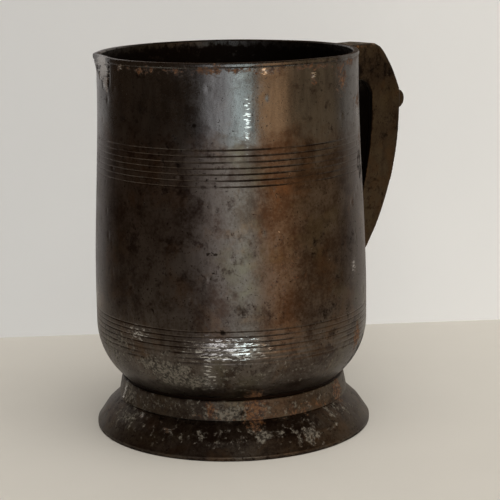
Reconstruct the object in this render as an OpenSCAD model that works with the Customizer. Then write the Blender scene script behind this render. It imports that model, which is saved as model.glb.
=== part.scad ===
// Lidless one-pint pewter tankard with a rounded bowl, a flared foot and a broken handle.
// Millimetres. The origin is on the body's axis at the table, +Z is up and the handle is along +X.

/* [Body] */
// Height of the rim above the table
body_h = 122.5; // [100:0.1:160]
// Outside diameter of the drum just under the lip
rim_d = 83.9; // [70:0.1:110]
// Outside diameter at the fullest part of the body
belly_d = 89; // [74:0.1:116]
// Thickness of the drum and the bowl
wall = 1.8; // [1.4:0.1:3]
// Radius of the curve that turns the bowl under
bowl_curve_r = 23.2; // [16:0.1:32]
// Height of the bowl's underside above the table
floor_lift = 12.2; // [8:0.1:20]
// Height of the joint of drum and bowl above the start of the bowl's curve
seam_rise = 5.7; // [4:0.1:12]
// Length of the drum's overlap with the bowl
lap = 5; // [3:0.5:8]
// Plain height under the lip, where the drum is a straight cylinder
neck_h = 5.3; // [3:0.1:12]

/* [Lip] */
// Height of the drum's rebate that the lip band sits in
lip_h = 1.9; // [1.4:0.1:4]
// Width of that rebate
lip_rebate = 0.8; // [0.5:0.1:1.2]
// How far the lip band's rounded face stands out from the drum
lip_proud = 0.2; // [0.1:0.1:1]
// Thickness of the solder under the lip band
lip_joint = 0.3; // [0.2:0.1:0.6]

/* [Turned lines] */
// Number of lines in each band
line_count = 7; // [3:1:9]
// Width of one line at the surface
line_w = 0.7; // [0.3:0.1:1.2]
// Depth of one line
line_depth = 0.3; // [0.1:0.05:0.5]
// Distance from the rim down to the first line of the upper band
upper_band_drop = 25.9; // [12:0.1:40]
// Spacing of the lines in the upper band
upper_pitch = 1.84; // [1.3:0.01:2.5]
// Spacing of the lines in the lower band, whose first line is the joint of drum and bowl
lower_pitch = 1.67; // [1.3:0.01:2.2]

/* [Foot] */
// Diameter of the foot at the table
foot_d = 90.7; // [84:0.1:120]
// Height of the flared skirt
skirt_h = 10.5; // [6:0.1:12]
// Thickness of the skirt
skirt_wall = 1.7; // [1.2:0.1:2.5]
// Height of the upright edge at the table
foot_edge_h = 1.2; // [0.8:0.1:2.5]
// Height of the collar above the skirt
collar_h = 6.4; // [5.5:0.1:8]
// Width of the collar's top edge outside the bowl
collar_wall = 1.4; // [1.2:0.1:2.5]
// How far the collar's lower edge stands out past its top edge
collar_flare = 1.1; // [0.4:0.1:2]
// How far the collar's lower edge overhangs the skirt
collar_overhang = 0.7; // [0.3:0.1:1.2]
// Length of the skirt's spigot inside the collar
spigot_h = 3.4; // [2:0.1:3.6]

/* [Handle] */
// Distance from the axis to the handle's outer face at its break
handle_reach = 79.4; // [68:0.5:100]
// Distance from the handle's top down to its break
break_drop = 23.2; // [18:0.1:32]
// Radius of the handle's bowed back between its knee and its break
back_r = 45; // [36:1:60]
// Slope of the back at the break, from upright
back_slope = 20; // [12:1:30]
// Width of the flat that softens the knee
knee_flat = 1.6; // [0.4:0.1:3]
// Depth of the grip at the break, from its outer to its inner face
grip_depth = 15; // [10:0.1:20]
// Depth of the upper arm where it meets the drum
arm_depth = 12.1; // [8:0.1:16]
// Width of the handle at its top
handle_w_top = 12; // [9:0.1:18]
// Width of the handle at its foot
handle_w_foot = 9; // [7:0.1:14]
// Thickness of the handle's shell and strap
handle_wall = 1.7; // [1.2:0.1:2.2]
// Distance from the joint of drum and bowl down to the lower edge of the handle's foot
handle_foot_drop = 8.6; // [4:0.1:12]
// Height of the handle's foot where it meets the body
handle_foot_h = 9; // [6:0.5:16]
// Radius of the corner under the upper arm
inner_corner_r = 7; // [3:0.5:10]
// Height of the spur at the break
spur_h = 6.5; // [4:0.1:10]
// How far the spur stands out from the handle's outer face
spur_proud = 2.7; // [1:0.1:5]
// Width of the spur across the handle
spur_w = 10.4; // [6:0.1:11]

/* [Solder] */
// Gap that solder fills between two pieces
solder_gap = 0.5; // [0.3:0.1:1]
// Size of the solder fillet around the handle's ends
fillet = 0.9; // [0.5:0.1:1.5]

/* [Hidden] */
$fn = 96;

// How far a cutting shape runs past the face that it opens.
overrun = 1;

// Body.
rim_r = rim_d / 2;
belly_r = belly_d / 2;
foot_r = foot_d / 2;
belly_z = floor_lift + bowl_curve_r;
bowl_centre_r = belly_r - bowl_curve_r;
seam_z = belly_z + seam_rise;
lap_r = belly_r - wall / 2;
bore_r = belly_r - wall;
neck_z = body_h - neck_h;
wave_steps = 24;

// Outside radius of the bowl at a height, on its quarter-round curve.
function bowl_r(z) = z >= belly_z ? belly_r
    : bowl_centre_r + sqrt(pow(bowl_curve_r, 2) - pow(belly_z - z, 2));

// Outside radius of the body at a height: half a cosine wave from the belly to the neck.
function body_r(z) = z >= neck_z ? rim_r
    : z <= seam_z ? bowl_r(z)
    : belly_r - (belly_r - rim_r) * (1 - cos(180 * (z - seam_z) / (neck_z - seam_z))) / 2;

// Evenly spaced heights from z0 to z1.
function steps(z0, z1, n) = [for (i = [0 : n]) z0 + (z1 - z0) * i / n];

// Points on an arc, its centre at c, from angle a0 to a1.
function arc(c, r, a0, a1, n) = [for (i = [0 : n])
    let (a = a0 + (a1 - a0) * i / n) c + r * [cos(a), sin(a)]];

// Floor disc and its ledge in the bowl.
floor_half = wall / 2;
floor_r = bowl_centre_r;
floor_ledge_w = 1.5;
floor_ledge_r = floor_r - floor_ledge_w;

// Lip. Its rounded face is an arc that ends flush with the drum at its top and bottom edges.
lip_z = body_h - lip_h;
lip_seat_r = rim_r - lip_rebate;
lip_band_h = lip_h - lip_joint;
lip_face_r = (pow(lip_band_h / 2, 2) + pow(lip_proud, 2)) / (2 * lip_proud);

// Clearance between the drum's rebate and the top of the handle.
lip_gap = 0.1;

// Foot.
collar_top_z = skirt_h + collar_h;
collar_top_r = bowl_r(collar_top_z) + collar_wall;
collar_foot_r = collar_top_r + collar_flare;
spigot_r = collar_top_r - collar_wall;
spigot_bore_r = spigot_r - skirt_wall;
spigot_top_z = skirt_h + spigot_h;
skirt_top_r = collar_foot_r - collar_overhang;

// The upright part of the collar's lower edge, and the width of its top edge that is bare of solder.
collar_edge_h = 0.8;
collar_land = 0.4;

// How far the skirt eases in just above its upright edge, across and up, and across on its inner side.
edge_ease = [0.5, 0.7];
inner_ease = 0.3;

// The skirt's faint ridge, where its slope steepens, as shares of the skirt's width and height.
ridge_share = [0.64, 0.47];
ridge = [
    skirt_top_r + ridge_share.x * (foot_r - skirt_top_r),
    foot_edge_h + ridge_share.y * (skirt_h - foot_edge_h)];

// Handle outline, in the X-Z plane. Both curves of the grip stand upright at the break.
handle_top_z = lip_z - lip_gap;
break_z = handle_top_z - break_drop;
arm_z = handle_top_z - arm_depth;
grip_inner_r = handle_reach - grip_depth;
handle_end_x = rim_r - wall;
handle_foot_z = seam_z - handle_foot_drop;
arc_steps = 32;
back_steps = 10;
corner_steps = 10;

// Heights above the break, as shares of the spur's height: the spur's middle and the back's lower end.
spur_mid_share = 0.4;
back_end_share = 0.8;
spur_z = break_z + spur_mid_share * spur_h;
back_end_z = break_z + back_end_share * spur_h;
back_centre = [handle_reach, back_end_z] - back_r * [cos(back_slope), sin(back_slope)];

// Radius of a curve that is upright at [top_r, top_z] and passes through [end_r, end_z].
function grip_curve_r(top_r, top_z, end_r, end_z) =
    (pow(top_r - end_r, 2) + pow(top_z - end_z, 2)) / (2 * (top_r - end_r));

// Angle below level at which that curve, with radius r, reaches the depth drop.
function curve_end(r, drop) = -asin(min(1, drop / r));

handle_foot_r = body_r(handle_foot_z);
outer_curve_r = grip_curve_r(handle_reach, break_z, handle_foot_r, handle_foot_z);
inner_foot_z = handle_foot_z + handle_foot_h;
inner_curve_r = grip_curve_r(grip_inner_r, break_z, body_r(inner_foot_z), inner_foot_z);
foot_overrun = 3;

// Angle at which the bowed back, drawn inset, reaches the top of the handle.
knee_turn = 2.5;
function knee_angle(inset) =
    asin((handle_top_z - inset - back_centre.y) / (back_r - inset));

// Outer edge of the handle, from the drum over the knee and down, drawn inset from the surface.
function outer_edge(inset) = concat(
    [[handle_end_x, handle_top_z - inset]],
    [[back_centre.x + (back_r - inset) * cos(knee_angle(inset)) - knee_flat, handle_top_z - inset]],
    arc(back_centre, back_r - inset, knee_angle(inset) - knee_turn, back_slope, back_steps),
    arc([handle_reach - outer_curve_r, break_z], outer_curve_r - inset,
        0, curve_end(outer_curve_r, break_z - handle_foot_z + foot_overrun), arc_steps));

// Inner edge of the handle, from the foot up to the drum, drawn inset from the surface.
function inner_edge(inset) = concat(
    arc([grip_inner_r - inner_curve_r, break_z], inner_curve_r + inset,
        curve_end(inner_curve_r, break_z - inner_foot_z + foot_overrun), 0, arc_steps),
    arc([grip_inner_r - inner_corner_r, arm_z - inner_corner_r], inner_corner_r + inset,
        0, 90, corner_steps),
    [[handle_end_x, arm_z + inset]]);

// Block with the handle's side outline and its tapered width, side_inset in from each side face.
module handle_block(outline, side_inset) {
    top_half = handle_w_top / 2 - side_inset;
    foot_half = handle_w_foot / 2 - side_inset;
    low_z = handle_foot_z - 2 * foot_overrun;
    high_z = handle_top_z + 2 * overrun;
    intersection() {
        rotate([90, 0, 0])
            linear_extrude(height = 2 * handle_w_top, center = true) polygon(outline);
        rotate([90, 0, 90]) linear_extrude(height = 2 * handle_reach)
            polygon([[-foot_half, low_z], [foot_half, low_z], [top_half, high_z], [-top_half, high_z]]);
    }
}

// The body filled solid, which the handle's ends are fitted to.
module body_solid(grow = 0) {
    rotate_extrude() polygon(concat(
        [[0, belly_z]],
        [for (z = steps(belly_z, seam_z, 1)) [body_r(z) + grow, z]],
        [for (z = steps(seam_z, neck_z, wave_steps)) if (z > seam_z) [body_r(z) + grow, z]],
        [[rim_r + grow, body_h], [0, body_h]]));
    bowl_solid(grow);
}

// The bowl's outer shape filled solid, up to the belly.
module bowl_solid(grow = 0) {
    rotate_extrude() intersection() {
        union() {
            translate([bowl_centre_r, belly_z]) circle(r = bowl_curve_r + grow);
            translate([0, floor_lift - grow]) square([bowl_centre_r, bowl_curve_r + grow]);
        }
        translate([0, floor_lift - grow]) square([belly_r + grow, bowl_curve_r + grow]);
    }
}

// One turned line: a V-shaped ring cut into a surface of radius r at height z.
module turned_line(r, z) {
    rotate_extrude() polygon([
        [r - line_depth, z],
        [r + line_depth, z + line_w],
        [r + line_depth, z - line_w]]);
}

module drum() {
    color("#4a443f") difference() {
        rotate_extrude() polygon(concat(
            [[lap_r, seam_z]],
            [for (z = steps(seam_z, neck_z, wave_steps)) [body_r(z), z]],
            [[rim_r, lip_z], [lip_seat_r, lip_z], [lip_seat_r, body_h], [rim_r - wall, body_h]],
            [for (z = steps(neck_z, seam_z + lap + solder_gap, wave_steps)) [body_r(z) - wall, z]],
            [[lap_r, seam_z + lap + solder_gap]]));
        for (i = [0 : line_count - 1]) {
            z = body_h - upper_band_drop - i * upper_pitch;
            turned_line(body_r(z), z);
        }
        turned_line(body_r(seam_z), seam_z);
    }
}

module lip_band() {
    color("#6b6258") rotate_extrude() intersection() {
        translate([lip_seat_r, lip_z + lip_joint]) square([lip_rebate + lip_proud, lip_band_h]);
        translate([rim_r + lip_proud - lip_face_r, body_h - lip_band_h / 2])
            circle(r = lip_face_r, $fn = 720);
    }
}

module bowl() {
    color("#3f3a36") difference() {
        union() {
            difference() {
                bowl_solid();
                bowl_solid(-wall);
            }
            rotate_extrude() translate([bore_r, belly_z]) square([wall, seam_z - belly_z]);
            rotate_extrude() translate([bore_r, belly_z]) square([wall / 2, seam_z + lap - belly_z]);
            translate([0, 0, floor_lift]) cylinder(r = floor_r + wall, h = floor_half);
        }
        translate([0, 0, floor_lift - overrun]) cylinder(r = floor_ledge_r, h = wall + 2 * overrun);
        translate([0, 0, floor_lift + floor_half]) cylinder(r = floor_r, h = wall);
        for (i = [0 : line_count - 1]) {
            z = seam_z - i * lower_pitch;
            turned_line(bowl_r(z), z);
        }
    }
}

module floor_disc() {
    color("#35302c") translate([0, 0, floor_lift]) {
        cylinder(r = floor_ledge_r, h = floor_half);
        translate([0, 0, floor_half]) cylinder(r = floor_r - solder_gap, h = floor_half);
    }
}

module foot_collar() {
    color("#524a40") difference() {
        rotate_extrude() polygon([
            [spigot_r, skirt_h],
            [collar_foot_r, skirt_h],
            [collar_foot_r, skirt_h + collar_edge_h],
            [collar_top_r, collar_top_z],
            [spigot_bore_r, collar_top_z],
            [spigot_bore_r, spigot_top_z + solder_gap],
            [spigot_r, spigot_top_z + solder_gap]]);
        bowl_solid();
    }
}

module foot_skirt() {
    lean = skirt_wall * sin(45);
    color("#2f2b28") rotate_extrude() polygon([
        [spigot_r, spigot_top_z],
        [spigot_r, skirt_h],
        [skirt_top_r, skirt_h],
        ridge,
        [foot_r - edge_ease.x, foot_edge_h + edge_ease.y],
        [foot_r, foot_edge_h],
        [foot_r, 0],
        [foot_r - skirt_wall, 0],
        [foot_r - skirt_wall - inner_ease, foot_edge_h],
        [ridge.x - lean, ridge.y - lean],
        [spigot_bore_r + skirt_wall, skirt_h - 2 * lean],
        [spigot_bore_r, skirt_h - lean],
        [spigot_bore_r, spigot_top_z]]);
}

module handle_shell() {
    color("#3b362c") difference() {
        handle_block(concat(outer_edge(0), inner_edge(0)), 0);
        handle_block(concat(outer_edge(handle_wall), inner_edge(-overrun)), handle_wall);
        body_solid();
    }
}

// The strip that closes the handle's inner side, side_gap in from the shell's cheeks.
module strap_strip(side_gap) {
    difference() {
        handle_block(concat(outer_edge(handle_wall), inner_edge(0)), handle_wall + side_gap);
        handle_block(concat(outer_edge(0), inner_edge(handle_wall)), 0);
        body_solid();
    }
}

module handle_strap() {
    color("#332f27") strap_strip(solder_gap);
}

module handle_edge_solder() {
    color("#777066") difference() {
        strap_strip(0);
        strap_strip(solder_gap);
    }
}

module handle_spur() {
    color("#3b362c") difference() {
        translate([handle_reach + spur_proud - spur_h / 2, 0, spur_z]) rotate([90, 0, 0])
            cylinder(d = spur_h, h = spur_w, center = true, $fn = 48);
        handle_block(concat(outer_edge(0), inner_edge(0)), -spur_w);
    }
}

module lip_solder() {
    color("#777066") rotate_extrude() translate([lip_seat_r, lip_z]) square([lip_rebate, lip_joint]);
}

module seam_solder() {
    color("#777066") rotate_extrude() translate([bore_r, seam_z + lap]) square([wall / 2, solder_gap]);
}

module floor_solder() {
    color("#777066") translate([0, 0, floor_lift + floor_half]) difference() {
        cylinder(r = floor_r, h = floor_half);
        translate([0, 0, -overrun]) cylinder(r = floor_r - solder_gap, h = floor_half + 2 * overrun);
    }
}

module collar_solder() {
    color("#777066") rotate_extrude() difference() {
        translate([spigot_bore_r, collar_top_z])
            square([collar_top_r - collar_land - spigot_bore_r, fillet]);
        translate([bowl_centre_r, belly_z]) circle(r = bowl_curve_r, $fn = 720);
    }
}

module skirt_solder() {
    color("#777066") rotate_extrude() translate([spigot_bore_r, spigot_top_z])
        square([spigot_r - spigot_bore_r, solder_gap]);
}

// A bead of solder around one end of the handle, between the heights z0 and z1.
module end_fillet(z0, z1) {
    difference() {
        intersection() {
            handle_block(concat(outer_edge(-fillet), inner_edge(-fillet)), -fillet);
            body_solid(fillet);
            translate([0, -handle_w_top, z0]) cube([2 * handle_reach, 2 * handle_w_top, z1 - z0]);
        }
        handle_block(concat(outer_edge(0), inner_edge(0)), 0);
        body_solid();
    }
}

module handle_top_solder() {
    color("#777066") end_fillet(arm_z - 2 * fillet, handle_top_z - lip_gap);
}

module handle_foot_solder() {
    color("#777066") end_fillet(handle_foot_z - 2 * fillet, inner_foot_z + 2 * fillet);
}

drum();
lip_band();
bowl();
floor_disc();
foot_collar();
foot_skirt();
handle_shell();
handle_strap();
handle_spur();
lip_solder();
seam_solder();
floor_solder();
collar_solder();
skirt_solder();
handle_top_solder();
handle_foot_solder();
handle_edge_solder();
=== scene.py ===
"""Looks of the lidless pewter tankard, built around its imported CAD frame. Metres, +Z up, handle along +X."""
import math
import bmesh
import bpy
import numpy as np
from mathutils import Matrix, Vector


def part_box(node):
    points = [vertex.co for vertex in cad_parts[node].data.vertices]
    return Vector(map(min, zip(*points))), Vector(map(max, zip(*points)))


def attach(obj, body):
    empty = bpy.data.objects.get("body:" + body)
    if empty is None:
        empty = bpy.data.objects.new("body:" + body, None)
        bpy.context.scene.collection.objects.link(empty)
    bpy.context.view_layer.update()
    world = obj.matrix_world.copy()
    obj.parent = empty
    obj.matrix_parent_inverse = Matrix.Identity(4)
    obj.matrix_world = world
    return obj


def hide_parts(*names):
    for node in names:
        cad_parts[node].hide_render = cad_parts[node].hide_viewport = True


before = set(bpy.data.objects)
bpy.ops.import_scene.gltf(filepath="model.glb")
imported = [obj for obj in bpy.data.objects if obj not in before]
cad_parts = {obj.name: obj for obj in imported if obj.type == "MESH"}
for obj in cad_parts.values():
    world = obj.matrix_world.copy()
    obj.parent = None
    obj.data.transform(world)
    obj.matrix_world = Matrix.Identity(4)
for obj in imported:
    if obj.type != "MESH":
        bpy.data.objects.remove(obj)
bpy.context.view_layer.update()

MM = 0.001
HANDLE_TURN = math.radians(44)  # how far behind the right-hand side the handle points, seen from the camera


# ---------------------------------------------------------------- sizes, from the frame where it has them

def top(node):
    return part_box(node)[1].z


def bottom(node):
    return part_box(node)[0].z


def radius(node):
    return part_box(node)[1].y


RIM_Z = top("drum")
SEAM_Z = bottom("drum")
LIP_Z = bottom("lip_solder")
LIP_BAND_Z = bottom("lip_band")
LIP_PROUD = radius("lip_band") - radius("lip_solder")
RIM_R = radius("lip_solder")
BELLY_R = radius("bowl")
FLOOR_LIFT = bottom("floor_disc")
WALL = top("floor_disc") - FLOOR_LIFT
CURVE_R = 23.2 * MM
NECK_H = 5.3 * MM
NECK_Z = RIM_Z - NECK_H
BELLY_Z = FLOOR_LIFT + CURVE_R
CURVE_CENTRE_R = BELLY_R - CURVE_R
LIP_SEAT_R = RIM_R - 0.8 * MM
LAP_R = BELLY_R - WALL / 2
LAP_H = 5 * MM
SOLDER_GAP = 0.5 * MM
FLOOR_LEDGE_W = 1.5 * MM
SKIRT_H = bottom("foot_collar")
COLLAR_TOP_Z = top("foot_collar")
COLLAR_FOOT_R = radius("foot_collar")
COLLAR_FLARE = 1.1 * MM
COLLAR_WALL = 1.4 * MM
COLLAR_OVERHANG = 0.7 * MM
COLLAR_EDGE_H = 0.8 * MM
SPIGOT_R = COLLAR_FOOT_R - COLLAR_FLARE - COLLAR_WALL
SPIGOT_H = 3.4 * MM
FOOT_R = radius("foot_skirt")
FOOT_EDGE_H = 1.2 * MM
SKIRT_WALL = 1.7 * MM
EASE = 0.25 * MM  # size of the bevels on the lower edges of the collar and the skirt

LINE_COUNT = 7
LINE_HALF_W = 0.26 * MM
LINE_DEPTH = 0.17 * MM
UPPER_BAND_DROP = 25.9 * MM
UPPER_PITCH = 1.84 * MM
LOWER_PITCH = 1.67 * MM
UPPER_LINES = [RIM_Z - UPPER_BAND_DROP - i * UPPER_PITCH for i in range(LINE_COUNT)]
LOWER_LINES = [SEAM_Z - i * LOWER_PITCH for i in range(LINE_COUNT)]


def body_radius(z):
    """Outside radius of drum and bowl: a half-cosine above the seam, a round curve below the belly."""
    z = np.asarray(z, float)
    wave = np.clip((z - SEAM_Z) / (NECK_Z - SEAM_Z), 0, 1)
    drum = BELLY_R - (BELLY_R - RIM_R) * (1 - np.cos(np.pi * wave)) / 2
    drop = np.clip(BELLY_Z - z, 0, CURVE_R)
    curve = CURVE_CENTRE_R + np.sqrt(CURVE_R ** 2 - drop ** 2)
    return np.where(z < BELLY_Z, curve, drum)


# ---------------------------------------------------------------- form: dents, wear and turned lines

rng = np.random.default_rng(7)


def waves(count, highest, spread):
    """Random smooth ripples, as (waves per turn, waves up in radians per metre, phase, size)."""
    turns = rng.integers(1, highest + 1, count)
    rise = rng.uniform(-spread, spread, count)
    phase = rng.uniform(0, 2 * np.pi, count)
    return list(zip(turns, rise, phase, 1 / np.sqrt(turns)))


def ripple(recipe, azimuth, z):
    """The sum of the recipe's waves at each point, mostly between -1 and 1."""
    total = sum(s * np.cos(k * azimuth + m * z + p) for k, m, p, s in recipe)
    return total / math.sqrt(len(recipe))


# The random recipes are drawn here and below in a fixed order, so that each run gives the same tankard.
SWELL = waves(9, highest=5, spread=60)
HAMMER = waves(14, highest=22, spread=260)
WEAR = waves(12, highest=14, spread=700)


def away(azimuth, degrees):
    """Signed angle from a bearing, in degrees."""
    return (np.degrees(azimuth) - degrees + 180) % 360 - 180


def rim_damage(azimuth, z):
    """The bent lip: a flat three-cornered flap that runs from a crease to a pulled corner.

    It narrows to a point below. Bearings are in degrees, outward moves in millimetres at the rim.
    """
    flap_h = 9.5 * MM
    crease, rim_corner, low_corner = 164, 140, 162
    narrowest, corner_spread, crease_width = 0.5, 14, 2.5
    crease_step, flap_start, flap_rise, corner_out = -1.1, -0.3, 1.2, 0.9
    hollow = 3.4  # takes the wall's roundness out of the flap
    below = np.clip((RIM_Z - z) / flap_h, 0, 1)
    corner = rim_corner + (low_corner - rim_corner) * below
    bearing = crease + away(azimuth, crease)
    flap = np.clip((crease - bearing) / np.maximum(crease - corner, narrowest), 0, 1)
    beyond = np.clip((corner - bearing) / corner_spread, 0, 1)
    fold = np.clip(1 - (bearing - crease) / crease_width, 0, 1)
    outward = flap_start + flap_rise * flap - hollow * flap * (1 - flap) * (1 - below)
    outward = np.where(bearing < corner, corner_out * (1 - beyond) ** 2, outward)
    outward = np.where(bearing > crease, crease_step * fold, outward)
    return outward * (1 - below) * MM


def lines_cut(azimuth, z):
    """Depth of the turned lines, which are worn shallow in places."""
    usual, spread, shallowest, deepest = 0.8, 0.6, 0.15, 1.2
    share = np.clip(usual + spread * ripple(WEAR, azimuth, z), shallowest, deepest)
    cut = np.zeros_like(z)
    for line in UPPER_LINES + LOWER_LINES:
        cut = np.maximum(cut, np.clip(1 - np.abs(z - line) / LINE_HALF_W, 0, 1))
    return LINE_DEPTH * cut * share


PIT_COUNT = 260
# Round corrosion pits: (bearing, height, radius, depth) in degrees and millimetres.
PITS = [(rng.uniform(0, 360), rng.uniform(4, 116), rng.uniform(0.3, 0.9), rng.uniform(0.08, 0.22))
        for _ in range(PIT_COUNT)]


def pitting(azimuth, z, r):
    """Depth of the corrosion pits at each point. A pit ends where it is too shallow to see."""
    reach = 2.5
    depth = np.zeros_like(z)
    for bearing, height, size, deep in PITS:
        along = np.radians(away(azimuth, bearing)) * r / MM
        up = z / MM - height
        near = along ** 2 + up ** 2 < (reach * size) ** 2
        depth[near] += deep * np.exp(-(along[near] ** 2 + up[near] ** 2) / size ** 2)
    return depth * MM


def polar(points):
    """Distance from the axis, azimuth in radians, and height of each point."""
    return np.hypot(points[:, 0], points[:, 1]), np.arctan2(points[:, 1], points[:, 0]), points[:, 2]


def move_out(points, r, move):
    """Moves points away from the axis."""
    points[:, :2] *= (1 + move / r)[:, None]


def body_form(points, outer):
    """Dents and swells a body piece. Only its outer faces take the turned lines and the pits.

    The rim also sags a little in places.
    """
    swell, hammer, rim_sag = 0.12 * MM, 0.035 * MM, 0.25 * MM
    r, azimuth, z = polar(points)
    move = swell * ripple(SWELL, azimuth, z) + hammer * ripple(HAMMER, azimuth, z)
    move += rim_damage(azimuth, z)
    move -= outer * (lines_cut(azimuth, z) + pitting(azimuth, z, r))
    move_out(points, r, move)
    sag = rim_sag * ripple(SWELL, azimuth + 1, z) * np.clip((z - LIP_Z) / (RIM_Z - LIP_Z), 0, 1)
    points[:, 2] += np.minimum(sag, 0)


def foot_form(points, outer):
    """Waviness of the foot's rings, with pits and hammer marks on their outer faces. Heights stay."""
    swell, hammer = 0.1 * MM, 0.05 * MM
    r, azimuth, z = polar(points)
    move = swell * ripple(SWELL, azimuth, z) - outer * pitting(azimuth, z, r)
    move += outer * hammer * ripple(HAMMER, azimuth, z)
    move_out(points, r, move)


def collar_form(points, outer):
    """The collar's lower edge has lifted away from the skirt on one side."""
    lift_bearing, lift_spread, lift = 158, 8, 0.9 * MM
    foot_form(points, outer)
    r, azimuth, z = polar(points)
    low = np.clip((COLLAR_TOP_Z - z) / (COLLAR_TOP_Z - SKIRT_H), 0, 1)
    move_out(points, r, lift * np.exp(-(away(azimuth, lift_bearing) / lift_spread) ** 2) * low ** 2)


# ---------------------------------------------------------------- meshes

SEGMENTS = 640  # steps around each turned piece


def new_object(name, data):
    piece = bpy.data.objects.new(name, data)
    bpy.context.scene.collection.objects.link(piece)
    return piece


def soften(mesh, angle):
    """Smooth shading, with edges sharper than the angle kept crisp."""
    mesh.polygons.foreach_set("use_smooth", [True] * len(mesh.polygons))
    mesh.set_sharp_from_angle(angle=math.radians(angle))


def span(start, end, step):
    """Points from start towards end, without the end, no further apart than the step."""
    start, end = np.array(start, float), np.array(end, float)
    count = max(1, math.ceil(np.linalg.norm(end - start) / step))
    return [tuple(start + (end - start) * i / count) for i in range(count)]


def dense_heights(low, high):
    """Heights from low to high: coarse steps, with fine ones across each turned line."""
    coarse, closest = 0.7 * MM, 0.05 * MM
    heights = list(np.arange(low, high, coarse)) + [high]
    offsets = LINE_HALF_W * np.array([-1.5, -1, -0.5, 0, 0.5, 1, 1.5])
    for line in UPPER_LINES + LOWER_LINES:
        heights += [line + o for o in offsets if low < line + o < high]
    heights = np.unique(np.round(heights, 6))
    keep = np.concatenate([[True], np.diff(heights) > closest])
    keep[-1] = True
    return heights[keep]


def lathe(name, outline, form):
    """A closed ring turned from an outline of (radius, height, outer) points, then dented by form."""
    outline = np.array(outline, float)
    count = len(outline)
    angle = np.arange(SEGMENTS) * 2 * np.pi / SEGMENTS
    points = np.empty((SEGMENTS, count, 3))
    points[:, :, 0] = np.cos(angle)[:, None] * outline[:, 0]
    points[:, :, 1] = np.sin(angle)[:, None] * outline[:, 0]
    points[:, :, 2] = outline[:, 1]
    points = points.reshape(-1, 3)
    form(points, np.tile(outline[:, 2], SEGMENTS))
    i, j = np.meshgrid(np.arange(SEGMENTS), np.arange(count), indexing="ij")
    next_i, next_j = (i + 1) % SEGMENTS, (j + 1) % count
    quads = np.stack([i * count + j, next_i * count + j, next_i * count + next_j, i * count + next_j], -1)
    mesh = bpy.data.meshes.new(name)
    mesh.from_pydata(points.tolist(), [], quads.reshape(-1, 4).tolist())
    mesh.update()
    soften(mesh, angle=40)
    return new_object(name, mesh)


def vertex_data(mesh, attribute):
    """The mesh's vertex positions ("co") or normals ("normal"), one row each."""
    values = np.empty(len(mesh.vertices) * 3)
    mesh.vertices.foreach_get(attribute, values)
    return values.reshape(-1, 3)


# Ripples of a casting's surface: (direction and fineness, phase).
GRAIN = [(rng.normal(0, 420, 3), rng.uniform(0, 6.28)) for _ in range(16)]


def cast_copy(name, node, voxel, smooth_steps, rough):
    """A copy of a CAD node with the softened edges and slight unevenness of a casting."""
    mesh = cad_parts[node].data.copy()
    weld = bmesh.new()
    weld.from_mesh(mesh)
    bmesh.ops.remove_doubles(weld, verts=weld.verts, dist=1e-6)
    weld.to_mesh(mesh)
    weld.free()
    piece = new_object(name, mesh)
    remesh = piece.modifiers.new("grain", "REMESH")
    remesh.mode = "VOXEL"
    remesh.voxel_size = voxel
    blur = piece.modifiers.new("edges", "SMOOTH")
    blur.iterations = smooth_steps
    blur.factor = 0.5
    bpy.context.view_layer.update()
    made = bpy.data.meshes.new_from_object(piece.evaluated_get(bpy.context.evaluated_depsgraph_get()))
    piece.modifiers.clear()
    made.materials.clear()
    made.name = name
    piece.data = made
    points = vertex_data(made, "co")
    wobble = sum(np.sin(points @ direction + phase) for direction, phase in GRAIN) / len(GRAIN)
    points += vertex_data(made, "normal") * (rough * wobble)[:, None]
    made.vertices.foreach_set("co", points.ravel())
    made.update()
    soften(made, angle=70)
    return piece


# ---------------------------------------------------------------- pieces

OUTER, INNER = 1, 0


def make_drum():
    """The upper wall, with the lip band's rebate at its top and the bowl's lap inside its lower end."""
    bevel = 0.4 * MM
    lap_top_z = SEAM_Z + LAP_H + SOLDER_GAP
    outside = [(float(body_radius(z)), z, OUTER) for z in dense_heights(SEAM_Z, LIP_Z)]
    rim = [(LIP_SEAT_R, LIP_Z, OUTER), (LIP_SEAT_R, RIM_Z, OUTER), (RIM_R - WALL + bevel, RIM_Z, INNER)]
    inside = [(float(body_radius(z)) - WALL, z, INNER) for z in np.linspace(RIM_Z - bevel, lap_top_z, 60)]
    lap = [(LAP_R, lap_top_z, INNER), (LAP_R, SEAM_Z, INNER)]
    return lathe("drum_wall", outside + rim + inside + lap, body_form)


def make_lip():
    """The lip band, whose face is a shallow arc."""
    half = (RIM_Z - LIP_BAND_Z) / 2
    heights = np.linspace(-1, 1, 13)
    face = [(RIM_R + LIP_PROUD * (1 - h * h), LIP_BAND_Z + half * (1 + h), OUTER) for h in heights]
    return lathe("lip", face + [(LIP_SEAT_R, RIM_Z, OUTER), (LIP_SEAT_R, LIP_BAND_Z, OUTER)], body_form)


def make_lip_solder():
    """The line of solder and dirt under the lip band, sunk a little below both metal faces."""
    face_r = RIM_R - 0.12 * MM
    outline = [(face_r, LIP_Z), (face_r, LIP_BAND_Z), (LIP_SEAT_R, LIP_BAND_Z), (LIP_SEAT_R, LIP_Z)]
    return lathe("lip_joint", [(r, z, OUTER) for r, z in outline], body_form)


def round_bowl(r, start, end, count, side):
    """The bowl's round stretch with the curve radius r, between two angles in degrees."""
    return [(CURVE_CENTRE_R + r * math.cos(a), BELLY_Z + r * math.sin(a), side)
            for a in np.radians(np.linspace(start, end, count))]


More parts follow.
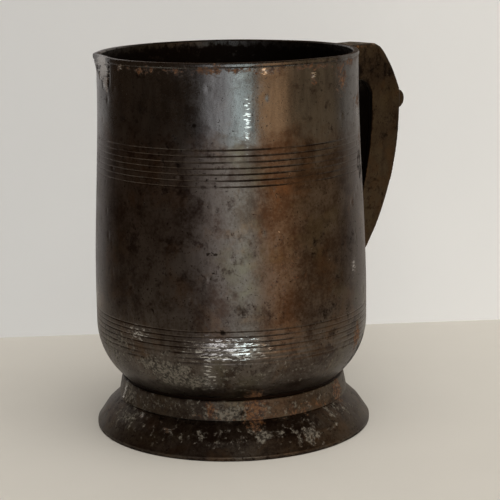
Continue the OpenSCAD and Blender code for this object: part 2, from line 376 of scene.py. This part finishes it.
def make_bowl():
    """The round lower wall, with a tongue inside the drum and a ledge for the floor disc."""
    bore_r = BELLY_R - WALL
    curve = round_bowl(CURVE_R, -90, 0, 110, OUTER)[:-1]
    straight = [(BELLY_R, z, OUTER) for z in dense_heights(BELLY_Z, SEAM_Z)]
    tongue = [(LAP_R, SEAM_Z, INNER), (LAP_R, SEAM_Z + LAP_H, INNER), (bore_r, SEAM_Z + LAP_H, INNER)]
    inside = round_bowl(CURVE_R - WALL, 0, -90, 60, INNER)
    ledge_r = CURVE_CENTRE_R - FLOOR_LEDGE_W
    half_z = FLOOR_LIFT + WALL / 2
    ledge = [(CURVE_CENTRE_R, half_z, INNER), (ledge_r, half_z, INNER), (ledge_r, FLOOR_LIFT, INNER)]
    return lathe("bowl_wall", curve + straight + tongue + inside + ledge, body_form)


def make_collar():
    """The near-upright band over the skirt's spigot, its top fitted to the bowl."""
    fine, coarse = 0.3 * MM, 0.5 * MM
    lean, bevel = 0.1 * MM, 0.3 * MM
    top_r = COLLAR_FOOT_R - COLLAR_FLARE
    edge_r = COLLAR_FOOT_R - lean
    edge_z = SKIRT_H + COLLAR_EDGE_H
    bore_top_z = SKIRT_H + SPIGOT_H + SOLDER_GAP
    seat_depth = 1 * MM
    outside = (span((COLLAR_FOOT_R - EASE, SKIRT_H), (COLLAR_FOOT_R, SKIRT_H + EASE), fine)
               + span((COLLAR_FOOT_R, SKIRT_H + EASE), (edge_r, edge_z), fine)
               + span((edge_r, edge_z), (top_r, COLLAR_TOP_Z - bevel), coarse)
               + span((top_r, COLLAR_TOP_Z - bevel), (top_r - bevel, COLLAR_TOP_Z), fine))
    seat = [(float(body_radius(z)), z) for z in np.linspace(COLLAR_TOP_Z, COLLAR_TOP_Z - seat_depth, 6)]
    bore = [(SPIGOT_R - SKIRT_WALL, bore_top_z), (SPIGOT_R, bore_top_z), (SPIGOT_R, SKIRT_H)]
    outline = [(r, z, OUTER) for r, z in outside] + [(r, z, INNER) for r, z in seat + bore]
    return lathe("collar", outline, collar_form)


def make_skirt():
    """The flared ring that stands on the table, with a faint ridge and the spigot on its top."""
    fine, medium, coarse = 0.3 * MM, 0.4 * MM, 0.5 * MM
    hidden = 0.8 * MM
    top_r = COLLAR_FOOT_R - COLLAR_OVERHANG
    bore_r = SPIGOT_R - SKIRT_WALL
    spigot_top_z = SKIRT_H + SPIGOT_H
    ridge_across, ridge_up = 0.64, 0.47
    ridge_r = top_r + ridge_across * (FOOT_R - top_r)
    ridge_z = FOOT_EDGE_H + ridge_up * (SKIRT_H - FOOT_EDGE_H)
    shoulder = (FOOT_R - 0.5 * MM, FOOT_EDGE_H + 0.7 * MM)
    lean = 1.22 * MM  # how far the sloping inner side lies in from the outer one, across and down
    inner_edge_r = FOOT_R - 2 * MM
    outside = (span((FOOT_R - EASE, 0), (FOOT_R, EASE), fine)
               + span((FOOT_R, EASE), (FOOT_R, FOOT_EDGE_H), medium)
               + span((FOOT_R, FOOT_EDGE_H), shoulder, medium)
               + span(shoulder, (ridge_r, ridge_z), coarse)
               + span((ridge_r, ridge_z), (top_r, SKIRT_H), coarse))
    spigot = [(top_r, SKIRT_H), (SPIGOT_R, SKIRT_H), (SPIGOT_R, spigot_top_z)]
    under = (span((bore_r, spigot_top_z), (bore_r, SKIRT_H - lean), hidden)
             + span((bore_r, SKIRT_H - lean), (bore_r + SKIRT_WALL, SKIRT_H - 2 * lean), hidden)
             + span((bore_r + SKIRT_WALL, SKIRT_H - 2 * lean), (ridge_r - lean, ridge_z - lean), hidden)
             + span((ridge_r - lean, ridge_z - lean), (inner_edge_r, FOOT_EDGE_H), hidden)
             + [(inner_edge_r, FOOT_EDGE_H), (FOOT_R - SKIRT_WALL, 0)])
    outline = [(r, z, OUTER) for r, z in outside] + [(r, z, INNER) for r, z in spigot + under]
    return lathe("skirt", outline, foot_form)


# ---------------------------------------------------------------- materials

class Shader:
    """A small builder for node materials whose textures all lie in the row frame."""

    def __init__(self, name):
        self.material = bpy.data.materials.new(name)
        self.material.use_nodes = True
        self.tree = self.material.node_tree
        self.tree.nodes.clear()
        self.out = self.tree.nodes.new("ShaderNodeOutputMaterial")
        self.bsdf = self.tree.nodes.new("ShaderNodeBsdfPrincipled")
        self.link(self.bsdf.outputs[0], self.out.inputs[0])
        self.place = self.tree.nodes.new("ShaderNodeTexCoord").outputs["Object"]

    def link(self, source, target):
        self.tree.links.new(source, target)

    def put(self, value, socket):
        """Links a socket, or sets a plain number or colour."""
        if isinstance(value, bpy.types.NodeSocket):
            self.link(value, socket)
        else:
            socket.default_value = value

    def stretched(self, scale):
        """Positions with a scale of their own along each axis."""
        node = self.tree.nodes.new("ShaderNodeMapping")
        self.link(self.place, node.inputs["Vector"])
        node.inputs["Scale"].default_value = scale
        return node.outputs[0]

    def noise(self, scale, detail=3, rough=0.55, where=None, distortion=0.0):
        node = self.tree.nodes.new("ShaderNodeTexNoise")
        self.link(where or self.place, node.inputs["Vector"])
        node.inputs["Scale"].default_value = scale
        node.inputs["Detail"].default_value = detail
        node.inputs["Roughness"].default_value = rough
        node.inputs["Distortion"].default_value = distortion
        return node.outputs["Fac"]

    def band(self, value, low, high, out_low=0.0, out_high=1.0):
        """Maps low..high to out_low..out_high with a smooth step."""
        node = self.tree.nodes.new("ShaderNodeMapRange")
        node.interpolation_type = "SMOOTHSTEP"
        self.link(value, node.inputs["Value"])
        limits = {"From Min": low, "From Max": high, "To Min": out_low, "To Max": out_high}
        for key, number in limits.items():
            node.inputs[key].default_value = number
        return node.outputs["Result"]

    def math(self, operation, a, b):
        node = self.tree.nodes.new("ShaderNodeMath")
        node.operation = operation
        self.put(a, node.inputs[0])
        self.put(b, node.inputs[1])
        return node.outputs[0]

    def times(self, a, b):
        return self.math("MULTIPLY", a, b)

    def highest(self, a, b):
        return self.math("MAXIMUM", a, b)

    def height(self):
        """Height above the table, in metres."""
        node = self.tree.nodes.new("ShaderNodeSeparateXYZ")
        self.link(self.place, node.inputs[0])
        return node.outputs["Z"]

    def mix(self, factor, a, b):
        """Mixes two colours."""
        node = self.tree.nodes.new("ShaderNodeMix")
        node.data_type = "RGBA"
        self.put(factor, node.inputs["Factor"])
        self.put(a if isinstance(a, bpy.types.NodeSocket) else (*a, 1), node.inputs["A"])
        self.put(b if isinstance(b, bpy.types.NodeSocket) else (*b, 1), node.inputs["B"])
        return node.outputs["Result"]

    def blend(self, factor, a, b):
        """Mixes two numbers."""
        node = self.tree.nodes.new("ShaderNodeMix")
        node.data_type = "FLOAT"
        self.put(factor, node.inputs["Factor"])
        self.put(a, node.inputs["A"])
        self.put(b, node.inputs["B"])
        return node.outputs["Result"]

    def attribute(self, name):
        """The red, green, blue and alpha of a colour attribute."""
        node = self.tree.nodes.new("ShaderNodeAttribute")
        node.attribute_name = name
        split = self.tree.nodes.new("ShaderNodeSeparateColor")
        self.link(node.outputs["Color"], split.inputs[0])
        return split.outputs[0], split.outputs[1], split.outputs[2], node.outputs["Alpha"]

    def bump(self, height, strength, distance, normal=None):
        node = self.tree.nodes.new("ShaderNodeBump")
        self.link(height, node.inputs["Height"])
        node.inputs["Strength"].default_value = strength
        node.inputs["Distance"].default_value = distance
        if normal is not None:
            self.link(normal, node.inputs["Normal"])
        return node.outputs[0]


POLISHED_DARK, POLISHED_LIGHT = (0.09, 0.092, 0.09), (0.15, 0.154, 0.15)
STAIN_COLOUR = (0.019, 0.009, 0.006)
SPECK_COLOUR = (0.014, 0.008, 0.005)
# Soot colour; it also paints shade in hollows, creases, behind the handle and under the foot's edges.
SOOT_AND_SHADE_COLOUR = (0.009, 0.005, 0.003)
RUST_DARK, RUST_LIGHT = (0.05, 0.016, 0.006), (0.25, 0.105, 0.03)
PALE_DARK, PALE_LIGHT = (0.03, 0.025, 0.018), (0.26, 0.24, 0.195)
# Bright wear and bare metal colours; they also paint highlights and reflections on the bent flap, the worn
# lower lines and the collar's lifted edge.
WEAR_AND_SHEEN_COLOUR = (0.3, 0.3, 0.29)
BARE_AND_SHEEN_COLOUR = (0.55, 0.54, 0.51)


def tinted(colour, tint):
    return tuple(c * t for c, t in zip(colour, tint))


class Pewter(Shader):
    """Tarnished pewter. The marks attribute paints rust, pale corrosion, bright wear with painted highlights,
    and soot with painted shade.

    Above the height polish_z, where given, the metal is cleaner and greyer. Texture scales count cells
    per metre: 42 makes clouds of about 24 mm, 3200 a grain of 0.3 mm.
    """

    def __init__(self, name, dark, light, rough, polish_z=None):
        super().__init__(name)
        self.cloud = self.noise(42, 4, 0.6)
        self.mottle = self.noise(190, 5, 0.62)
        self.grain = self.noise(1100, 4, 0.6)
        self.fine = self.noise(3200, 3, 0.6)
        self.brushed = self.noise(1, 4, 0.65, self.stretched((330, 330, 60)))
        broad = self.math("ADD", self.times(self.cloud, 0.45), self.times(self.mottle, 0.3))
        self.tone = self.math("ADD", broad, self.times(self.grain, 0.25))
        self.rust, self.pale, self.worn, self.soot_and_shade = self.attribute("marks")
        self.polish = self.polish_zone(polish_z) if polish_z else None
        self.specks = self.dark_specks()
        self.soot_and_shade_on = self.patchy(self.soot_and_shade, self.noise(420, 5, 0.7), 1.6, 0.2)
        self.rust_on = self.patchy(self.rust, self.noise(560, 6, 0.75), 2.8, 0.16)
        self.pale_on = self.patchy(self.pale, self.noise(460, 6, 0.75), 3.2, 0.16)
        self.bare_and_sheen_on = self.bare_metal_and_sheen()
        self.dull = self.highest(self.rust_on, self.pale_on)
        colour = self.stained(self.tarnished(dark, light), dark)
        metal = self.highest(self.blend(self.dull, 1.0, 0.3), self.soot_and_shade_on)
        self.link(self.marked(colour), self.bsdf.inputs["Base Color"])
        self.link(metal, self.bsdf.inputs["Metallic"])
        self.link(self.gloss(rough), self.bsdf.inputs["Roughness"])
        self.link(self.relief(), self.bsdf.inputs["Normal"])

    def patchy(self, mask, texture, spread, soft):
        """A mask broken up by a texture, so that its edge is ragged and its inside has holes."""
        level = self.math("ADD", mask, self.times(self.math("SUBTRACT", texture, 0.5), spread))
        return self.times(self.band(level, 0.5 - soft, 0.5 + soft), self.band(mask, 0.04, 0.2))

    def polish_zone(self, polish_z):
        """Where the metal is cleaner: above a height that wanders by a few millimetres."""
        wander, soft = 0.004, 0.005
        level = self.math("ADD", self.height(), self.band(self.mottle, 0.3, 0.7, -wander, wander))
        return self.band(level, polish_z - soft, polish_z + soft, 0, 0.75)

    def dark_specks(self):
        """Small pits and dots full of dirt, thickest where the clouds are light."""
        specks = self.band(self.noise(560, 4, 0.6), 0.62, 0.70)
        dots = self.band(self.noise(1500, 3, 0.5), 0.63, 0.70)
        return self.highest(self.times(specks, self.band(self.cloud, 0.46, 0.56, 0.15, 1)),
                            self.times(dots, self.band(self.mottle, 0.45, 0.55, 0.25, 1)))

    def bare_metal_and_sheen(self):
        """Bright streaks on the worn marks, which also paint highlights and reflections, and tiny chips
        everywhere that is not sooty.
        """
        streaks = self.noise(1, 3, 0.6, self.stretched((520, 520, 2100)))
        chips = self.band(self.noise(1300, 3, 0.5), 0.7, 0.76)
        chips = self.times(chips, self.band(self.mottle, 0.58, 0.66, 0, 0.6))
        chips = self.times(chips, self.math("SUBTRACT", 1.0, self.soot_and_shade))
        return self.highest(self.patchy(self.worn, streaks, 2.6, 0.1), chips)

    def tarnished(self, dark, light):
        """The metal's own colour, with brown and olive clouds and the polished zone."""
        brown = tinted(light, (1.0, 0.74, 0.52))
        olive = tinted(light, (0.9, 0.92, 0.7))
        colour = self.mix(self.band(self.tone, 0.4, 0.6), dark, light)
        brown_clouds = self.noise(75, 5, 0.65, distortion=0.5)
        colour = self.mix(self.band(brown_clouds, 0.5, 0.68, 0, 0.55), colour, brown)
        colour = self.mix(self.band(self.noise(58, 5, 0.65), 0.54, 0.7, 0, 0.5), colour, olive)
        if self.polish is not None:
            clean = self.mix(self.band(self.brushed, 0.35, 0.65), POLISHED_DARK, POLISHED_LIGHT)
            colour = self.mix(self.polish, colour, clean)
        return colour

    def stained(self, colour, dark):
        """Darkens the colour in upright brushed streaks, in stains and spots, and in specks."""
        colour = self.mix(self.band(self.brushed, 0.52, 0.75, 0, 0.4), colour, tinted(dark, (0.5, 0.5, 0.5)))
        stains = self.band(self.noise(150, 6, 0.72), 0.51, 0.65)
        stains = self.times(stains, self.band(self.cloud, 0.42, 0.6, 0.25, 1))
        spots = self.band(self.noise(330, 5, 0.65), 0.58, 0.66)
        spots = self.times(spots, self.band(self.cloud, 0.44, 0.56, 0.1, 0.8))
        # The dark alpha channel darkens here like a stain: soot, and painted shade.
        stains = self.highest(self.highest(stains, spots), self.soot_and_shade)
        colour = self.mix(self.times(stains, 0.75), colour, STAIN_COLOUR)
        return self.mix(self.times(self.specks, 0.8), colour, SPECK_COLOUR)

    def marked(self, colour):
        """Lays soot and painted shade, rust, pale corrosion, and wear and painted highlights over the colour,
        in this order.
        """
        rust_colour = self.mix(self.band(self.grain, 0.38, 0.62), RUST_DARK, RUST_LIGHT)
        pale_colour = self.mix(self.band(self.grain, 0.4, 0.6), PALE_DARK, PALE_LIGHT)
        layers = ((self.soot_and_shade_on, 0.9, SOOT_AND_SHADE_COLOUR), (self.rust_on, 0.7, rust_colour),
                  (self.pale_on, 0.75, pale_colour), (self.worn, 0.3, WEAR_AND_SHEEN_COLOUR),
                  (self.bare_and_sheen_on, 0.85, BARE_AND_SHEEN_COLOUR))
        for mask, share, layer in layers:
            colour = self.mix(self.times(mask, share), colour, layer)
        return colour

    def gloss(self, rough):
        """Roughness: uneven over the metal, lower where polished or bare, higher under dirt and rust."""
        value = self.band(self.tone, 0.35, 0.65, rough - 0.07, rough + 0.1)
        if self.polish is not None:
            value = self.math("SUBTRACT", value, self.times(self.polish, 0.1))
        value = self.math("ADD", value, self.band(self.fine, 0.4, 0.7, 0, 0.07))
        layers = ((self.dull, 0.7), (self.bare_and_sheen_on, 0.24), (self.specks, 0.65), (self.soot_and_shade_on, 0.7))
        for mask, layer_rough in layers:
            value = self.blend(mask, value, layer_rough)
        return value

    def relief(self):
        """Fine bumps, each (height, strength, depth in metres), from the specks to the corrosion."""
        turned = self.noise(1, 3, 0.7, self.stretched((26, 26, 3400)))
        layers = ((self.specks, -0.5, 0.08 * MM), (turned, 0.1, 0.02 * MM),
                  (self.brushed, 0.25, 0.03 * MM), (self.mottle, 0.3, 0.12 * MM),
                  (self.grain, 0.4, 0.035 * MM), (self.fine, 0.25, 0.012 * MM),
                  (self.dull, 0.4, 0.06 * MM))
        normal = None
        for height, strength, depth in layers:
            normal = self.bump(height, strength, depth, normal)
        return normal


# Marks on the metal: (bearing in degrees, height, half-width along, half-height, strength), sizes in mm.
# Bearings run from the handle, anticlockwise seen from above. The camera stands at bearing 226.
RUST = [
    (189, 120.3, 4, 1.4, 0.62), (204, 120.2, 4, 1.2, 0.5), (219, 120.5, 5, 1.5, 0.6),
    (234, 120.2, 4, 1, 0.45), (264, 118, 1.5, 2.5, 0.62), (283, 116, 3, 5, 0.6),
    (290, 120.2, 5, 1.8, 0.58), (250, 120.3, 60, 1.2, 0.44), (236, 14.5, 2.8, 5, 1.25),
    (291, 14, 3, 4, 1.0), (291, 32, 2.5, 4, 0.9), (228, 12, 12, 1.5, 0.4), (262, 12, 12, 2, 0.45),
    (246, 60, 7, 12, 0.24), (215, 13.5, 2, 2, 0.8), (0, 120.4, 8, 1.4, 0.45)]
PALE = [
    (193, 29, 6, 3.5, 0.85), (200, 27, 7, 4, 0.9), (209, 24.5, 6, 2.5, 0.88), (160, 14, 6, 4, 0.7),
    (224, 12.8, 5, 2.2, 1.0), (238.5, 6.5, 3.5, 1.4, 0.8), (260, 5.5, 6, 3, 0.55),
    (211, 7, 2.5, 1.2, 0.6), (168, 8, 7, 3, 0.55), (284, 9, 9, 3, 0.4), (166, 31, 8, 8, 0.42),
    (176, 34, 6, 5, 0.42), (225, 6, 70, 3, 0.25), (225, 14, 70, 4, 0.28), (220, 26, 60, 6, 0.26),
    (1, 120.9, 7, 1, 0.5)]
# Wear marks, some of them painted light: the four on the bent flap are a painted reflection on its facet, the
# pair at height 35.5 add a painted highlight to the worn lower lines, and the narrow one at bearing 156,
# height 14 is a painted glint on the collar's lifted edge.
WORN_AND_SHEEN = [
    (155, 121.2, 3.8, 1.5, 1.2), (158.5, 118, 3.2, 2.2, 1.2), (161.2, 115, 1.6, 1.8, 1.1),
    (162.5, 112.7, 0.7, 1.4, 1), (217, 35.5, 7, 3.2, 0.52), (229, 35.5, 7, 3.2, 0.52),
    (233.6, 105, 0.9, 6.5, 0.47), (216, 27, 2, 5, 0.42), (287, 56, 1.2, 2.4, 0.55),
    (185, 38.5, 4, 2, 0.5), (177, 9, 0.7, 0.5, 0.9), (195, 7.2, 1.5, 0.5, 0.8),
    (175, 120.6, 1.5, 0.6, 0.8), (241, 120, 0.8, 1, 0.6), (264, 117.5, 0.8, 1, 0.6),
    (156, 14, 0.8, 3, 0.7)]
# Soot marks, some of them painted shade: the four along the bent flap's creases (bearings 150.5 to 164.8), the
# broad one behind the handle at bearing 0, the bands under the bowl at heights 16.5 to 19.5, those under the
# collar's edge at heights 9.6 and 10, and the band along the foot's lower edge at height 0.4.
SOOT_AND_SHADE = [
    (164.8, 118, 0.7, 5, 1.1), (150.5, 118.5, 0.7, 1.4, 0.9), (154, 116.5, 0.6, 1.4, 0.9),
    (157.5, 114.3, 0.5, 1.3, 0.9), (143, 116, 2.2, 5, 0.45), (270, 60, 9, 8, 0.36),
    (262, 67, 8, 8, 0.34), (283, 63, 8, 9, 0.36), (268, 44, 10, 4, 0.42), (240, 46, 30, 4, 0.26),
    (190, 50, 18, 12, 0.2), (205, 92, 1, 1, 0.8), (212, 104, 0.7, 0.7, 0.9), (229, 48, 3, 2, 0.5),
    (222, 41, 1.2, 1.2, 0.6), (231, 13, 1.3, 1.3, 0.9), (216, 10, 8, 2, 0.3), (200, 19.5, 28, 1.6, 0.2),
    (245, 18.6, 40, 1.2, 0.2), (225, 9.6, 70, 0.6, 0.45), (272, 112, 22, 10, 0.2),
    (185, 16.5, 26, 2.4, 0.22), (225, 0.4, 200, 0.7, 0.45), (0, 62, 30, 22, 0.3)]


def scattered(count, low_z, high_z, size, strength):
    """Marks spread at random over the sides that the listed ones leave plain."""
    return [(rng.uniform(-60, 150), rng.uniform(low_z, high_z), size * rng.uniform(0.4, 1),
             size * rng.uniform(0.4, 1), strength * rng.uniform(0.7, 1.1)) for _ in range(count)]


RUST += scattered(16, low_z=8, high_z=120, size=6, strength=0.5)
PALE += scattered(22, low_z=4, high_z=38, size=7, strength=0.5)
WORN_AND_SHEEN += scattered(9, low_z=28, high_z=110, size=5, strength=0.36)
SOOT_AND_SHADE += scattered(20, low_z=10, high_z=116, size=9, strength=0.6)

GRIME_AND_SHADE = 0.78  # soot and painted shade on faces that look towards the axis: in the cup, under the foot, inside the handle's bow


def add_marks(piece):
    """Paints the marks attribute: red rust, green pale corrosion, blue bright wear and painted highlights,
    alpha soot and painted shade.

    Faces that look towards the axis lose the other marks and take soot and painted shade, less of it near the
    rim. So do faces that lie near the axis.
    """
    edge_fade = 0.7  # leaves half of a mark's strength at its half-width
    rim_fade, rim_least = 2.5, 0.45
    axis_r, axis_share = 30, 0.6
    points = vertex_data(piece.data, "co") / MM
    normals = vertex_data(piece.data, "normal")
    r, azimuth, z = polar(points)
    values = np.zeros((len(points), 4), np.float32)
    for channel, marks in enumerate((RUST, PALE, WORN_AND_SHEEN, SOOT_AND_SHADE)):
        for bearing, height, wide, tall, strength in marks:
            along = np.radians(away(azimuth, bearing)) * r / wide
            up = (z - height) / tall
            spot = strength * np.exp(-edge_fade * (along ** 2 + up ** 2))
            values[:, channel] = np.maximum(values[:, channel], spot)
    # Painted shade: faces turned towards the axis, and faces near it, take the dark alpha channel where shade
    # falls.
    facing_in = -(normals[:, 0] * points[:, 0] + normals[:, 1] * points[:, 1]) / np.maximum(r, 1)
    deep = np.clip((RIM_Z / MM - z) / rim_fade, rim_least, 1)
    inside = np.clip(facing_in * 2, 0, 1) * deep
    axial = np.clip(1 - r / axis_r, 0, 1)
    values[:, :3] *= ((1 - inside) * (1 - axial))[:, None]
    values[:, 3] = np.maximum(values[:, 3], GRIME_AND_SHADE * np.maximum(inside, axis_share * axial))
    layer = piece.data.color_attributes.new("marks", "FLOAT_COLOR", "POINT")
    layer.data.foreach_set("color", values.ravel())


# ---------------------------------------------------------------- room: floor, wall, lights, camera

# The camera, fitted to the photo's outline: place in metres, turns in radians, focal length in mm.
CAMERA_BACK, CAMERA_UP = 0.5124, 0.1685
YAW, PITCH, ROLL = 0.0123, 0.2143, -0.0157
LENS = 114.8
SENSOR_W = 36


def seen(x, y, z=0.0):
    """A point given across, away from the camera and up, turned into the row frame."""
    return Matrix.Rotation(-HANDLE_TURN, 3, "Z") @ Vector((x, y, z))


def add_camera():
    data = bpy.data.cameras.new("camera")
    data.lens = LENS
    data.sensor_width = SENSOR_W
    data.clip_start, data.clip_end = 0.01, 30
    camera = new_object("camera", data)
    forward = Vector((math.sin(YAW) * math.cos(PITCH), math.cos(YAW) * math.cos(PITCH), -math.sin(PITCH)))
    right = Vector((math.cos(YAW), -math.sin(YAW), 0))
    up = right.cross(forward)
    rolled_right = math.cos(ROLL) * right + math.sin(ROLL) * up
    rolled_up = math.cos(ROLL) * up - math.sin(ROLL) * right
    turn = Matrix((seen(*rolled_right), seen(*rolled_up), -seen(*forward))).transposed()
    camera.matrix_world = Matrix.Translation(seen(0, -CAMERA_BACK, CAMERA_UP)) @ turn.to_4x4()
    bpy.context.scene.camera = camera


def plain(name, colour, rough, glow=0.0, one_sided=False, shade=None):
    """A pale painted surface with a faint unevenness and glow. One-sided, it is clear from behind.

    Shade, where given, is painted shade, (direction, start, end, darkest): the paint darkens against that
    direction.
    """
    s = Shader(name)
    tone = s.band(s.noise(9, 4), 0.3, 0.7)
    paint = s.mix(tone, tuple(0.96 * c for c in colour), colour)
    if shade:
        direction, start, end, darkest = shade
        across = s.tree.nodes.new("ShaderNodeVectorMath")
        across.operation = "DOT_PRODUCT"
        s.link(s.place, across.inputs[0])
        across.inputs[1].default_value = direction
        paint = s.mix(s.band(across.outputs["Value"], start, end), tuple(darkest * c for c in colour), paint)
    s.link(paint, s.bsdf.inputs["Base Color"])
    s.bsdf.inputs["Roughness"].default_value = rough
    s.bsdf.inputs["Specular IOR Level"].default_value = 0.2
    s.bsdf.inputs["Emission Color"].default_value = (*colour, 1)
    s.bsdf.inputs["Emission Strength"].default_value = glow
    s.link(s.bump(s.noise(240, 4), 0.2, 0.1 * MM), s.bsdf.inputs["Normal"])
    if one_sided:
        clear = s.tree.nodes.new("ShaderNodeBsdfTransparent")
        facing = s.tree.nodes.new("ShaderNodeNewGeometry").outputs["Backfacing"]
        mixer = s.tree.nodes.new("ShaderNodeMixShader")
        s.link(facing, mixer.inputs[0])
        s.link(s.bsdf.outputs[0], mixer.inputs[1])
        s.link(clear.outputs[0], mixer.inputs[2])
        s.link(mixer.outputs[0], s.out.inputs[0])
    return s.material


def quad(name, corners, material):
    """A flat four-cornered piece of the room."""
    mesh = bpy.data.meshes.new(name)
    mesh.from_pydata([tuple(c) for c in corners], [], [(0, 1, 2, 3)])
    mesh.materials.append(material)
    piece = new_object(name, mesh)
    return piece


def add_room():
    """A pale floor and a pale wall close behind, in metres across and away from the camera.

    Only the floor near the tankard shows in its metal.
    """
    half = 2.2
    floor_front, floor_back = -2, 2
    near, near_front = 0.18, -0.12
    near_lift = 0.02 * MM
    wall_left_y, wall_right_y, wall_h = -0.036, 0.259, 1.6
    floor_paint = plain("floor_paint", (0.66, 0.635, 0.58), 0.55)
    # The wall's paint darkens towards its left end as painted shade.
    wall_paint = plain("wall_paint", (0.73, 0.73, 0.715), 0.7, glow=0.42, one_sided=True,
                       shade=(seen(1, 0), -0.28, 0.1, 0.45))
    far = [(-half, floor_front), (half, floor_front), (half, floor_back), (-half, floor_back)]
    floor = quad("floor", [seen(*corner) for corner in far], floor_paint)
    floor.visible_glossy = False
    close = [(-near, near_front), (near, near_front), (near, near), (-near, near)]
    quad("floor_near", [seen(*corner, near_lift) for corner in close], floor_paint)
    left, right, rise = seen(-half, wall_left_y), seen(half, wall_right_y), Vector((0, 0, wall_h))
    wall = quad("wall", [left, right, right + rise, left + rise], wall_paint)
    wall.visible_glossy = False


def area_light(name, bearing, distance, height, size, radiance, colour, diffuse=False):
    """A rectangular light that faces the tankard, at a bearing from the camera's side towards the right.

    Its power follows from the radiance, so that its size can change without changing its brightness.
    """
    data = bpy.data.lights.new(name, "AREA")
    data.shape = "RECTANGLE"
    data.size, data.size_y = size
    data.energy = radiance * math.pi * size[0] * size[1]
    data.color = colour
    turn = math.radians(bearing)
    middle = Vector((0, 0, 60 * MM))
    lamp = new_object(name, data)
    lamp.location = seen(distance * math.sin(turn), -distance * math.cos(turn), height)
    lamp.rotation_euler = (middle - lamp.location).to_track_quat("-Z", "Y").to_euler()
    lamp.visible_camera = False
    lamp.visible_glossy = not diffuse
    lamp.visible_diffuse = diffuse


def add_lights():
    """One soft overhead light for the room, and broad soft ones that only show as sheen on the metal.

    Each is (name, bearing, distance, height, size, radiance, colour).
    """
    area_light("ceiling", 31, 0.6, 1.9, (2.4, 2.0), 2.8, (1.0, 0.985, 0.95), diffuse=True)
    area_light("window", 12, 1.6, 0.1, (0.4, 1.3), 3.9, (0.8, 0.96, 1.0))
    area_light("window_side", -7, 1.62, 0.1, (0.62, 1.3), 1.6, (0.93, 0.93, 1.0))
    area_light("warm_wall", 38, 1.6, 0.1, (0.72, 1.2), 1.7, (1.0, 0.6, 0.33))
    area_light("cupboard", 80, 1.6, 0.2, (1.6, 1.4), 0.42, (1.0, 0.74, 0.46))
    area_light("wall_right", 142, 1.0, 0.2, (1.1, 1.3), 0.45, (1.0, 0.96, 0.9))
    area_light("wall_left", -150, 1.0, 0.2, (0.9, 1.3), 0.4, (0.98, 0.99, 1.0))


def add_world():
    """A dim brown room to the metal, and a plain pale backdrop to the camera."""
    world = bpy.data.worlds.new("room")
    bpy.context.scene.world = world
    world.use_nodes = True
    tree = world.node_tree
    tree.nodes.clear()
    out = tree.nodes.new("ShaderNodeOutputWorld")
    dim = tree.nodes.new("ShaderNodeBackground")
    dim.inputs["Color"].default_value = (0.085, 0.053, 0.034, 1)
    pale = tree.nodes.new("ShaderNodeBackground")
    pale.inputs["Color"].default_value = (0.56, 0.54, 0.51, 1)
    mixer = tree.nodes.new("ShaderNodeMixShader")
    path = tree.nodes.new("ShaderNodeLightPath")
    tree.links.new(path.outputs["Is Camera Ray"], mixer.inputs[0])
    tree.links.new(dim.outputs[0], mixer.inputs[1])
    tree.links.new(pale.outputs[0], mixer.inputs[2])
    tree.links.new(mixer.outputs[0], out.inputs[0])


# ---------------------------------------------------------------- assembly

POLISH_Z = 99 * MM  # the drum's upper part is cleaner above this height


def dress(piece, material, node):
    """Gives a piece its marks, material and body, and hides the CAD node that it stands for."""
    add_marks(piece)
    piece.data.materials.clear()
    piece.data.materials.append(material)
    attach(piece, "root")
    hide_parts(node)


def dress_solder(handle, solder):
    """Materials for the CAD's own solder pieces. The one under the lip has a piece of its own."""
    for node in sorted(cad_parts):
        if node.endswith("_solder") and node != "lip_solder":
            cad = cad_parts[node]
            cad.data.materials.clear()
            cad.data.materials.append(handle if node.startswith("handle") else solder)


def main():
    body = Pewter("body_pewter", (0.05, 0.035, 0.026), (0.128, 0.11, 0.094), 0.33, POLISH_Z).material
    foot = Pewter("foot_pewter", (0.05, 0.038, 0.03), (0.12, 0.102, 0.08), 0.42).material
    handle = Pewter("handle_pewter", (0.058, 0.044, 0.027), (0.108, 0.088, 0.058), 0.48).material
    solder = Pewter("solder_metal", (0.07, 0.05, 0.033), (0.17, 0.13, 0.09), 0.5).material
    dress(make_drum(), body, "drum")
    dress(make_lip(), body, "lip_band")
    dress(make_lip_solder(), body, "lip_solder")
    dress(make_bowl(), body, "bowl")
    dress(make_collar(), foot, "foot_collar")
    dress(make_skirt(), foot, "foot_skirt")
    shell = cast_copy("grip_shell", "handle_shell", voxel=0.4 * MM, smooth_steps=5, rough=0.12 * MM)
    strap = cast_copy("grip_strap", "handle_strap", voxel=0.4 * MM, smooth_steps=4, rough=0.08 * MM)
    spur = cast_copy("spur_knob", "handle_spur", voxel=0.2 * MM, smooth_steps=8, rough=0.1 * MM)
    floor = cast_copy("floor_plate", "floor_disc", voxel=0.4 * MM, smooth_steps=4, rough=0.08 * MM)
    dress(shell, handle, "handle_shell")
    dress(strap, handle, "handle_strap")
    dress(spur, handle, "handle_spur")
    dress(floor, body, "floor_disc")
    dress_solder(handle, solder)
    add_room()
    add_lights()
    add_world()
    add_camera()
    bpy.context.scene.view_settings.view_transform = "Standard"


main()
